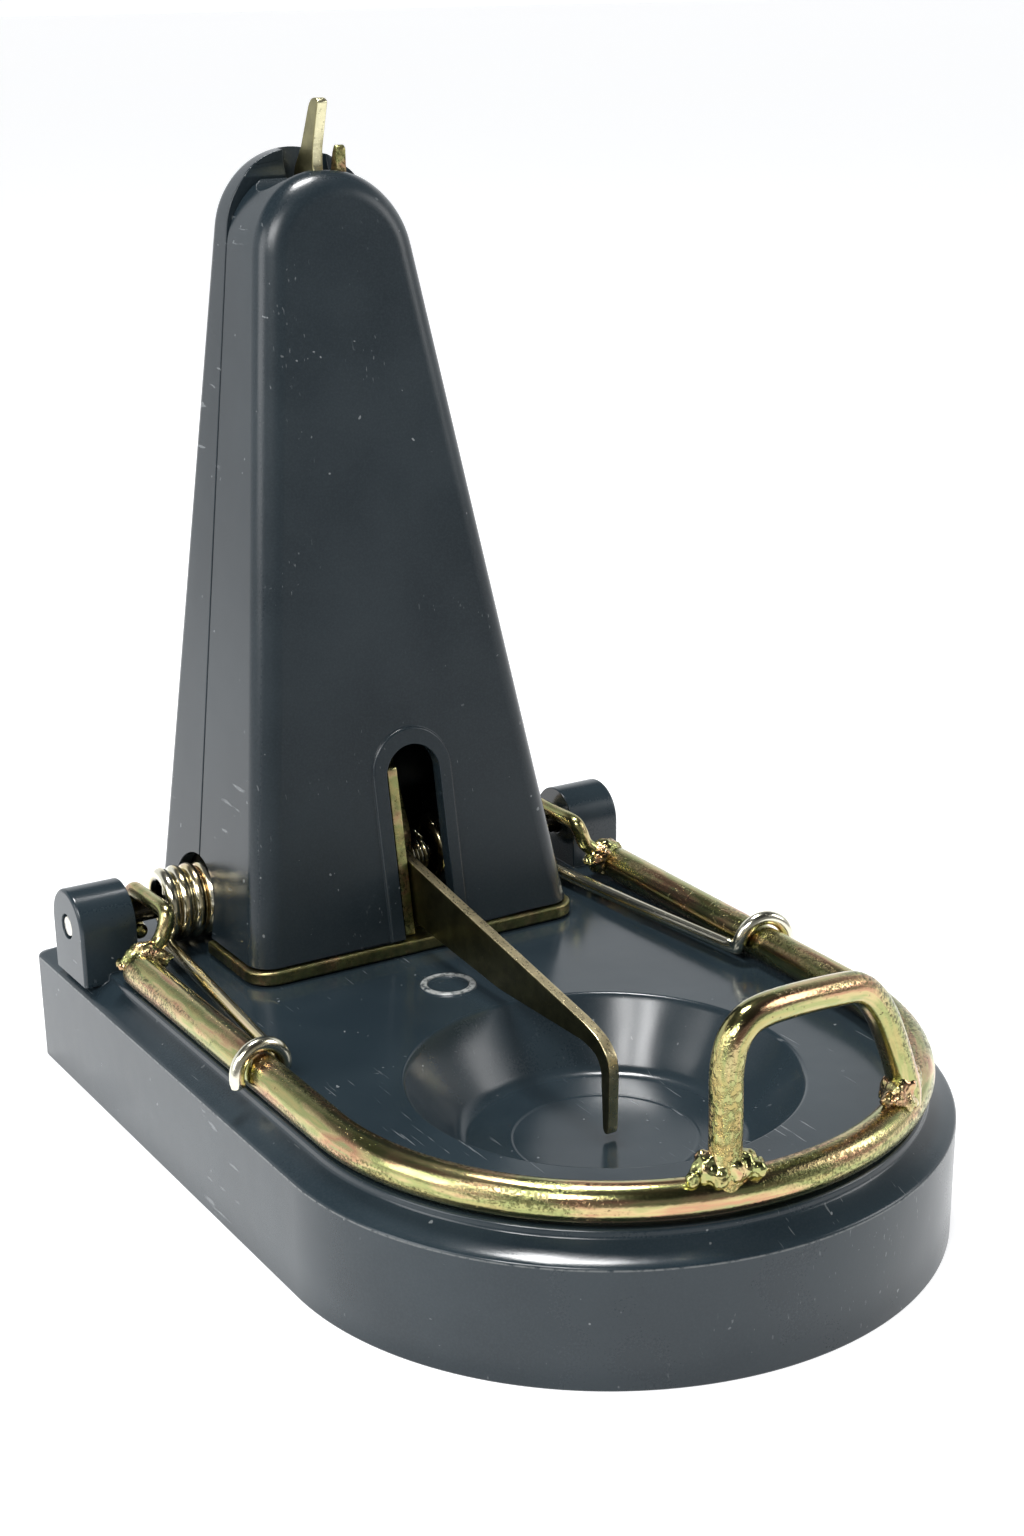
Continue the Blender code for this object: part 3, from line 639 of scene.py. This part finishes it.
def lever_steel(name, face, edge):
    """Plated sheet with paler cut edges, told apart by the face's direction."""
    finish = Finish(name, Metallic=1.0)
    where = finish.place()
    fine = finish.cloud(where, 2.2, 3, 0.6)
    patch = finish.cloud(where, 0.25, 3, 0.6)
    brushed = finish.cloud(finish.stretch(where, (1, 0.12, 1)), 2.5, 2)
    spread = finish.node("SeparateXYZ", None, {0: finish.node("TexCoord", output="Normal")}, "X")
    side = spread.math("ABSOLUTE", spread).over(0.35, 0.85)
    colour = finish.mix(patch.over(0.35, 0.7), edge, tuple(c * 0.8 for c in edge))
    shade = finish.mix(patch.over(0.3, 0.7), face, tuple(c * 0.6 for c in face))
    colour = finish.mix(side, colour, shade)
    pit = finish.cloud(where, 1.4, 3, 0.7).over(0.62, 0.72)
    colour = finish.mix(pit * 0.6, colour, (0.06, 0.05, 0.025))
    finish.use("Base Color", colour)
    finish.use("Roughness", fine * 0.15 + brushed * 0.12 + side * 0.06 + 0.16)
    finish.relief(fine * 0.3 + brushed * 0.3 - pit * 0.5, 0.08, 0.5)
    return finish


catch = flat_steel("catch_lever_steel", "catch_lever", catch_side, 0.8, 0.25)
lever_steel("plated_catch", (0.26, 0.24, 0.12), (0.66, 0.62, 0.40)).paint(catch)
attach(catch, "catch")
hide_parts("catch_lever")
trigger = flat_steel("trigger_lever_steel", "trigger_lever", trigger_side, 2.0, 0.22)
lever_steel("plated_trigger", (0.11, 0.105, 0.05), (0.82, 0.70, 0.42)).paint(trigger)
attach(trigger, "trigger")
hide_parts("trigger_lever")

# Axle, pins, washers and screws. Plain bright steel, turned or headed: a pin through both plates
# for each lever with a washer beside it, the axle through the lugs, and four screws from below.


def bright_steel(name, roughness=0.22, shaded_middle=False):
    """Plain turned steel with fine rings and light stains. The axle's kind has painted shade: its
    middle is painted dark out to the lugs, under the coils.
    """
    finish = Finish(name, Metallic=1.0)
    where = finish.place()
    fine = finish.cloud(where, 4.0, 3, 0.6)
    ring = finish.cloud(finish.stretch(where, (6, 1, 1)), 0.8, 2)
    stain = finish.cloud(where, 0.5, 3, 0.6).over(0.5, 0.75)
    colour = finish.mix(stain * 0.5, (0.66, 0.64, 0.58), (0.36, 0.31, 0.22))
    if shaded_middle:
        # Painted shade: the axle's middle, from about 10 to 55 mm out, is painted dark where the coils
        # and tower shade it.
        across = finish.node("SeparateXYZ", None, {0: where}, "X")
        reach = across.math("ABSOLUTE", across)
        colour = finish.mix(reach.over(8, 12) * (1 - reach.over(54, 56)), colour, (0.05, 0.045, 0.035))
    finish.use("Base Color", colour)
    finish.use("Roughness", fine * 0.12 + ring * 0.1 + stain * 0.12 + (roughness - 0.1))
    finish.relief(fine * 0.4 + ring * 0.4, 0.04, 0.5)
    return finish


steel = bright_steel("bright_steel")
# The axle's steel has painted shade along its middle.
axle_steel = bright_steel("shaded_axle_steel", shaded_middle=True)


def pin(name, node, chamfer=0.3):
    """A round pin that fills its frame node, with chamfered ends."""
    low, high = corners(node)
    radius = (high.z - low.z) / 2
    half = (high.x - low.x) / 2
    profile = [(0, -half), (radius - chamfer, -half), (radius, chamfer - half),
               (radius, half - chamfer), (radius - chamfer, half), (0, half)]
    made = turned(name, profile, (low + high) / 2, "X", 48)
    soften(made, 0.08)
    return made


for name, node in (("axle_steel", "axle"), ("trigger_pin_steel", "trigger_pin"),
                   ("catch_pin_steel", "catch_pin")):
    made = pin(name, node)
    (axle_steel if node == "axle" else steel).paint(made)
    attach(made, "trap_body")
    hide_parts(node)
for name, node in (("trigger_washer_steel", "trigger_washer"), ("catch_washer_steel", "catch_washer")):
    low, high = corners(node)
    inner, outer, half = pin_radius + 0.15, (high.z - low.z) / 2, (high.x - low.x) / 2
    rim = 0.15
    profile = [(inner, -half), (outer - rim, -half), (outer, rim - half), (outer, half - rim),
               (outer - rim, half), (inner, half)]
    made = turned(name, profile, (low + high) / 2, "X", 48, closed=True)
    soften(made, 0.05)
    steel.paint(made)
    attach(made, "trap_body")
    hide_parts(node)
screw_head_height, thread_pitch = 2.2, 0.9
for number, (x, y) in enumerate(screw_places, 1):
    low, high = corners(f"tower_screw_{number}")
    head_top = low.z + screw_head_height
    thread = []
    turns = int((high.z - 2 - head_top) / thread_pitch)
    for k in range(turns):
        z = head_top + 0.3 + thread_pitch * k
        thread += [(1.25, z), (1.5, z + 0.3), (1.5, z + 0.42), (1.25, z + 0.72)]
    profile = ([(0, low.z), (1.8, low.z + 0.1), (2.6, low.z + 0.6), (2.95, low.z + 1.2),
                (3.0, low.z + 1.6), (3.0, head_top), (1.3, head_top)] + thread
               + [(1.2, high.z - 1.2), (0.5, high.z), (0, high.z)])
    made = turned(f"tower_screw_steel_{number}", profile, (x, y, 0), steps=32)
    for turn in (0, 90):
        bit = [(-2.0, -0.4), (2.0, -0.4), (2.0, 0.4), (-2.0, 0.4)]
        spin = Matrix.Rotation(math.radians(turn + 20 * number), 2)
        cross = [spin @ Vector(p) + Vector((x, y)) for p in bit]
        cut(made, prism("cross", cross, low.z - 1, low.z + 1.3))
    soften(made, 0.06, angle=50)
    steel.paint(made)
    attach(made, "trap_body")
    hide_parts(f"tower_screw_{number}")

# Hoop, handle and eyes. Round steel rod, bent cold, then welded together and plated in yellow
# zinc: the heavy hoop that strikes, the finger loop on its right front, and at the end of each
# arm a lighter wire hooked over the axle.


def tube(name, path, radius, sides=32, domed=True):
    """Round rod along a path. radius is a size, or a function of the share of the way along.

    Its grain attribute holds each point's place round the rod and along it, in millimetres.
    """
    path = [Vector(p) for p in path]
    size = radius if callable(radius) else lambda share: radius
    lengths = [0.0]
    for a, b in zip(path, path[1:]):
        lengths.append(lengths[-1] + (b - a).length)
    ways = [(path[min(i + 1, len(path) - 1)] - path[max(i - 1, 0)]).normalized()
            for i in range(len(path))]
    side = ways[0].orthogonal().normalized()
    stations = []
    for i, (centre, way) in enumerate(zip(path, ways)):
        if i:
            side = ways[i - 1].rotation_difference(way) @ side
        side = (side - way * side.dot(way)).normalized()
        stations.append((centre, way, side.copy(), size(lengths[i] / lengths[-1]), lengths[i]))
    if domed:
        caps = []
        for end, sign in ((stations[0], -1), (stations[-1], 1)):
            centre, way, turn, reach, along = end
            rise = [math.radians(a) for a in (30, 55, 75)]
            dome = [(centre + way * sign * reach * 0.45 * math.sin(a), way, turn,
                     reach * math.cos(a), along) for a in rise]
            caps.append(dome)
        stations = caps[0][::-1] + stations + caps[1]
    mesh = bmesh.new()
    grain = mesh.verts.layers.float_vector.new("grain")
    rings = []
    for centre, way, turn, reach, along in stations:
        other = way.cross(turn)
        ring = []
        for k in range(sides):
            a = 2 * math.pi * k / sides
            out = turn * math.cos(a) + other * math.sin(a)
            vert = mesh.verts.new(centre + out * reach)
            vert[grain] = (reach * math.cos(a), reach * math.sin(a), along)
            ring.append(vert)
        rings.append(ring)
    for low, high in zip(rings, rings[1:]):
        for k in range(sides):
            mesh.faces.new((low[k - 1], low[k], high[k], high[k - 1]))
    mesh.faces.new(rings[0])
    mesh.faces.new(rings[-1])
    return new_piece(name, mesh)


def smooth_path(points, steps):
    """A smooth run through given points, for bent wire."""
    path = []
    for i in range(len(points) - 1):
        before = Vector(points[max(i - 1, 0)])
        start, stop = Vector(points[i]), Vector(points[i + 1])
        after = Vector(points[min(i + 2, len(points) - 1)])
        for k in range(steps):
            t = k / steps
            path.append(0.5 * (2 * start + (stop - before) * t
                               + (2 * before - 5 * start + 4 * stop - after) * t * t
                               + (3 * start - before - 3 * stop + after) * t ** 3))
    path.append(Vector(points[-1]))
    return path


def mirrored(points):
    """The same points on the other side of the trap."""
    return [Vector((-x, y, z)) for x, y, z in points]


hoop_low, hoop_high = corners("hoop")
rod_radius = (hoop_high.z - hoop_low.z) / 2
hoop_z = (hoop_high.z + hoop_low.z) / 2
hoop_radius = hoop_high.x - rod_radius
arm_end_y = hoop_high.y


def hoop_point(degrees, lift=0.0):
    """A point on the hoop's front arc."""
    angle = math.radians(degrees)
    return Vector((hoop_radius * math.cos(angle), front_centre + hoop_radius * math.sin(angle),
                   hoop_z + lift))


arm_steps = 30
arm = [Vector((-hoop_radius, arm_end_y + (front_centre - arm_end_y) * k / arm_steps, hoop_z))
       for k in range(arm_steps)]
hoop_path = arm + [hoop_point(180 + 180 * k / 90) for k in range(91)] + mirrored(arm)[::-1]
hoop = tube("hoop_rod", hoop_path, rod_radius, 48)
zinc("zinc_hoop", 0.17, 0.8, grain=True).paint(hoop)
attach(hoop, "hoop")
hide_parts("hoop")

foot_angles = (257.0, 303.5)
handle_radius = 2.5
handle_top_z = corners("handle_loop")[1].z - handle_radius
left_foot, right_foot = (hoop_point(a, rod_radius + 1.3) for a in foot_angles)
foot_run = right_foot - left_foot
rise = handle_top_z - left_foot.z
handle_shape = [(0, -0.22), (0, 0), (0, 0.35), (0, 0.72), (0.055, 0.93), (0.20, 1.0), (0.58, 0.93),
                (0.72, 0.86), (0.83, 0.66), (0.92, 0.36), (1, 0), (1.0, -0.22)]
handle_path = smooth_path([left_foot + foot_run * s + Vector((0, 0, rise * h))
                           for s, h in handle_shape], 9)
foot_swell, foot_share = 0.16, 0.10
handle = tube("handle_rod", handle_path,
              lambda share: handle_radius
              * (1 + foot_swell * max(0, 1 - min(share, 1 - share) / foot_share)), 40)
zinc("zinc_handle", 0.15, 0.9, grain=True, rough_until=30).paint(handle)
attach(handle, "hoop")
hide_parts("handle_loop")

eye_x, eye_loop, eye_radius = 43.2, 4.0, 1.45
eye_turn = [(-eye_x, axle_y + eye_loop * math.cos(a), axle_z + eye_loop * math.sin(a))
            for a in (math.radians(95 - 6.2 * k) for k in range(31))]
eye_rise = smooth_path([(-47.6, axle_y - 14.6, axle_z - 2.4), (-44.9, axle_y - 13.9, axle_z - 0.2),
                        (-43.7, axle_y - 13.7, axle_z + 2.6), (-eye_x, axle_y - 12.2, axle_z + 4.15),
                        (-eye_x, axle_y - 6, axle_z + 4.1), eye_turn[0]], 8)
eye_path = eye_rise + [Vector(p) for p in eye_turn[1:]]
eye_zinc = zinc("zinc_eye", 0.22, 0.7, grain=True)
for end, path in (("left", eye_path), ("right", mirrored(eye_path))):
    eye = tube("eye_wire_" + end, path, eye_radius, 28)
    eye_zinc.paint(eye)
    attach(eye, "hoop")
    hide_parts("hoop_eye_" + end)

# Welds. Run weld metal where the handle's feet and the eyes meet the hoop: lumpy, left as it set
# with small drops beside it, and plated in yellow zinc with the rods.


def weld(name, centre, way, spread, drops, size, seed):
    """Overlapping drops melted into one lump. It runs furthest along way."""
    draw = random.Random(seed)
    way = Vector(way).normalized()
    across = way.cross((0, 0, 1))
    mesh = bmesh.new()
    for k in range(drops):
        run, off = draw.uniform(-1, 1), draw.uniform(-1, 1)
        lift = draw.uniform(-1, 1)
        place = (Vector(centre) + way * run * spread[0]
                 + across * off * spread[1] * (1 - 0.5 * abs(run))
                 + Vector((0, 0, lift * spread[2] * (1 - abs(run)))))
        radius = size * draw.uniform(0.6, 1.0) * (1 - 0.35 * abs(run))
        bmesh.ops.create_icosphere(mesh, subdivisions=3, radius=radius,
                                   matrix=Matrix.Translation(place))
    core = Matrix.LocRotScale(Vector(centre), way.to_track_quat("X", "Z"),
                              Vector((spread[0] * 0.9, spread[1] * 0.9, spread[2] + size * 0.7)))
    bmesh.ops.create_icosphere(mesh, subdivisions=3, radius=1, matrix=core)
    lump = new_piece(name, mesh)
    melt = lump.modifiers.new("melt", "REMESH")
    melt.mode = "VOXEL"
    melt.voxel_size = 0.22 * MM
    relax = lump.modifiers.new("relax", "SMOOTH")
    relax.factor = 0.5
    relax.iterations = 9
    bpy.context.view_layer.update()
    ready = lump.evaluated_get(bpy.context.evaluated_depsgraph_get())
    shape = bpy.data.meshes.new_from_object(ready)
    lump.modifiers.clear()
    lump.data = shape
    for vert in shape.vertices:
        wave = noise.noise(vert.co / MM * 0.7) * 0.5 + noise.noise(vert.co / MM * 2.0) * 0.12
        vert.co += vert.normal * wave * MM
    shape.shade_smooth()
    return lump


handle_spread, eye_spread = (6.0, 2.8, 2.6), (4.4, 3.2, 2.8)
weld_work = []
for end, angle, seed in (("left", foot_angles[0], 3), ("right", foot_angles[1], 8)):
    place = hoop_point(angle, rod_radius + 0.6)
    way = (-math.sin(math.radians(angle)), math.cos(math.radians(angle)), 0)
    weld_work.append(("handle_bead_" + end, "handle_weld_" + end,
                      place, way, handle_spread, 26, 1.7, seed))
for end, side, seed in (("left", -1, 5), ("right", 1, 6)):
    place = (side * 48.8, arm_end_y + 1.2, hoop_z + 1.0)
    weld_work.append(("eye_bead_" + end, "eye_weld_" + end,
                      place, (side, 0, 0), eye_spread, 44, 1.4, seed))
weld_metal = zinc("zinc_weld", 0.15, 0.6)
for name, node, *lump in weld_work:
    bead = weld(name, *lump)
    weld_metal.paint(bead)
    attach(bead, "hoop")
    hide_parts(node)

# Springs. Hard drawn wire. One torsion spring is wound on the axle at each side: its inner end stops
# inside the tower, and its outer leg runs along the deck and hooks round the hoop's arm. The trigger
# spring is a small coil of finer wire on the trigger's pin.


def spring_steel(name):
    """Bright drawn wire with faint gold tints, with painted shade: dark on the inside of the coil."""
    finish = Finish(name, Metallic=1.0)
    where = finish.node("Attribute", {"attribute_name": "grain"}, output="Vector")
    drawn = finish.cloud(finish.stretch(where, (2.5, 2.5, 0.05)), 1.2, 3)
    tint = finish.cloud(finish.stretch(where, (0.6, 0.6, 0.08)), 0.5, 2)
    pit = finish.cloud(where, 2.0, 3, 0.7).over(0.64, 0.74)
    colour = finish.node("ValToRGB", {"stops": [
        (0.30, (0.62, 0.62, 0.50)), (0.46, (0.78, 0.74, 0.60)), (0.56, (0.72, 0.62, 0.36)),
        (0.70, (0.78, 0.60, 0.44))]}, {0: tint})
    colour = finish.mix(pit * 0.5, colour, (0.12, 0.10, 0.06))
    # Painted shade: the inner attribute darkens the wire's side that faces the axle.
    inner = finish.node("Attribute", {"attribute_name": "inner"}, output="Fac")
    finish.use("Base Color", finish.mix(inner, colour, (0.045, 0.04, 0.025)))
    finish.use("Roughness", drawn * 0.16 + pit * 0.2 + 0.10)
    finish.relief(drawn * 0.5 - pit * 0.5, 0.05, 0.5)
    return finish


spring_wire = 1.25
spring_radius = 5.75
spring_outer_x = 39.3
spring_pitch = 2.62
spring_turns = 8.5
spring_inner_x = spring_outer_x - spring_pitch * spring_turns
coil_steps = int(spring_turns * 40)
coil = []
for k in range(coil_steps + 1):
    share = k / coil_steps
    angle = math.radians(270 - 360 * spring_turns * (1 - share))
    coil.append(Vector((-(spring_inner_x + (spring_outer_x - spring_inner_x) * share),
                        axle_y + spring_radius * math.cos(angle),
                        axle_z + spring_radius * math.sin(angle))))
hook_radius = rod_radius + GAP + spring_wire
leg = smooth_path([coil[-1], (-spring_outer_x - 0.6, axle_y - 6, axle_z - spring_radius),
                   (-42.4, 30, hoop_z - 1.2), (-hoop_radius + hook_radius + 0.5, 3, hoop_z - 0.7)], 12)
hook_pitch = -0.25 * 360 / 22
hook = [Vector((-hoop_radius + hook_radius * math.cos(a), hook_pitch * a / (2 * math.pi),
                hoop_z + hook_radius * math.sin(a)))
        for a in (math.radians(-5 + 8.25 * k) for k in range(25))]
spring_path = coil + leg[1:] + hook
spring_finish = spring_steel("spring_wire")
for end, side, path in (("left", -1, spring_path), ("right", 1, mirrored(spring_path))):
    spring = tube("spring_" + end, path, spring_wire, 20)
    # Painted shade mask: 1 on the wire's inner side, nearer the axle than the coil's radius.
    inner = spring.data.attributes.new("inner", "FLOAT", "POINT")
    for vert, dark in zip(spring.data.vertices, inner.data):
        reach = math.hypot(vert.co.y / MM - axle_y, vert.co.z / MM - axle_z)
        dark.value = min(1.0, max(0.0, (spring_radius - 0.2 - reach) / 0.5))
    spring_finish.paint(spring)
    side * spring_inner_x * MM
    side * spring_outer_x * MM
    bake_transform(spring)
    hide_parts("torsion_spring_" + end)

trigger_spring_x, trigger_spring_end, trigger_coil, trigger_turns = 5.6, 9.0, 2.8, 4
trigger_wire, trigger_leg = 0.4, 5
trigger_steps = trigger_turns * 24
coil = []
for k in range(trigger_steps + 1):
    share = k / trigger_steps
    angle = math.radians(90 + 360 * trigger_turns * share)
    coil.append((trigger_spring_x + (trigger_spring_end - trigger_spring_x) * share,
                 trigger_pivot[0] + trigger_coil * math.cos(angle),
                 trigger_pivot[1] + trigger_coil * math.sin(angle)))
leg_z = trigger_pivot[1] + trigger_coil + 0.6
path = ([(trigger_spring_x, trigger_pivot[0] - trigger_leg, leg_z)] + coil
        + [(trigger_spring_end, trigger_pivot[0] + trigger_leg, leg_z)])
small_spring = tube("trigger_spring_wire", path, trigger_wire, 16)
spring_finish.paint(small_spring)
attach(small_spring, "trap_body")
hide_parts("trigger_spring")

# Studio. A pale floor that runs far back, a white sky and five soft boxes, two of them side by
# side like a window. The camera is on the left of the trap and a little above it.

floor_reach = 6000
floor_mesh = bmesh.new()
bmesh.ops.create_grid(floor_mesh, x_segments=8, y_segments=8, size=floor_reach)
floor = new_piece("studio_floor", floor_mesh)
floor_finish = Finish("pale_floor", Emission_Strength=0.80)
floor_tone = floor_finish.cloud(floor_finish.place(), 0.004, 2)
floor_finish.use("Base Color", floor_finish.mix(floor_tone, (0.52, 0.525, 0.53), (0.56, 0.56, 0.56)))
floor_finish.use("Emission Color", floor_finish.mix(floor_tone, (0.97, 0.98, 1.0), (1, 1, 1)))
floor_finish.use("Roughness", floor_tone * 0.1 + 0.6)
floor_finish.paint(floor)


def soft_box(name, place, target, width, height, power):
    """A rectangular lamp at place that faces target. Sizes are in metres and power in watts."""
    light = bpy.data.lights.new(name, "AREA")
    light.shape = "RECTANGLE"
    light.size = width
    light.size_y = height
    light.energy = power
    lamp = bpy.data.objects.new(name, light)
    lamp.location = place
    lamp.rotation_euler = (Vector(target) - Vector(place)).to_track_quat("-Z", "Y").to_euler()
    bpy.context.scene.collection.objects.link(lamp)


soft_box("key_left", (-0.80, 0.05, 0.45), (0, 0, 0.05), 0.4, 0.5, 2.5)
soft_box("top", (0.05, 0.2, 0.95), (0, -0.02, 0.02), 0.24, 0.18, 8)
soft_box("fill_right", (0.7, -0.35, 0.45), (0, 0, 0.04), 0.3, 0.4, 2)
soft_box("window_near", (-0.44, -0.42, 0.68), (0.02, -0.006, 0.02), 0.13, 0.24, 2.4)
soft_box("window_far", (-0.56, -0.27, 0.67), (0.02, -0.006, 0.02), 0.13, 0.24, 2.4)

# The sky is a white ring at the horizon, dimmer toward the front, under a dark ceiling.
world = bpy.data.worlds.new("studio_sky")
world.use_nodes = True
sky = world.node_tree
direction = add_node(sky, "TexCoord", output="Generated")
backdrop = add_node(sky, "SeparateXYZ", None, {0: direction}, "Y").over(-0.6, 0.35, 0.24, 1.05)
ceiling = add_node(sky, "SeparateXYZ", None, {0: direction}, "Z").over(0.38, 0.64, 1.0, 0.08)
glow = sky.nodes["Background"]
sky.links.new((backdrop * ceiling).socket, glow.inputs["Strength"])
glow.inputs["Color"].default_value = (0.96, 0.98, 1.0, 1)
bpy.context.scene.world = world
bpy.context.scene.view_settings.view_transform = "Standard"

camera_azimuth, camera_elevation, camera_roll = -31.94, 21.99, -0.28
camera_target = Vector((-0.0063, -0.0194, 0.0509))
camera_distance = 0.3919
camera_data = bpy.data.cameras.new("camera")
camera_data.lens = 57.31
camera_data.shift_x = -0.026
camera_data.shift_y = 0.0977
camera_data.clip_start = 0.01
camera = bpy.data.objects.new("camera", camera_data)
turn = (Matrix.Rotation(math.radians(camera_azimuth), 4, "Z")
        @ Matrix.Rotation(math.radians(90 - camera_elevation), 4, "X")
        @ Matrix.Rotation(math.radians(camera_roll), 4, "Z"))
camera_place = camera_target + turn.to_3x3() @ Vector((0, 0, camera_distance))
camera.matrix_world = Matrix.Translation(camera_place) @ turn
bpy.context.scene.collection.objects.link(camera)
bpy.context.scene.camera = camera
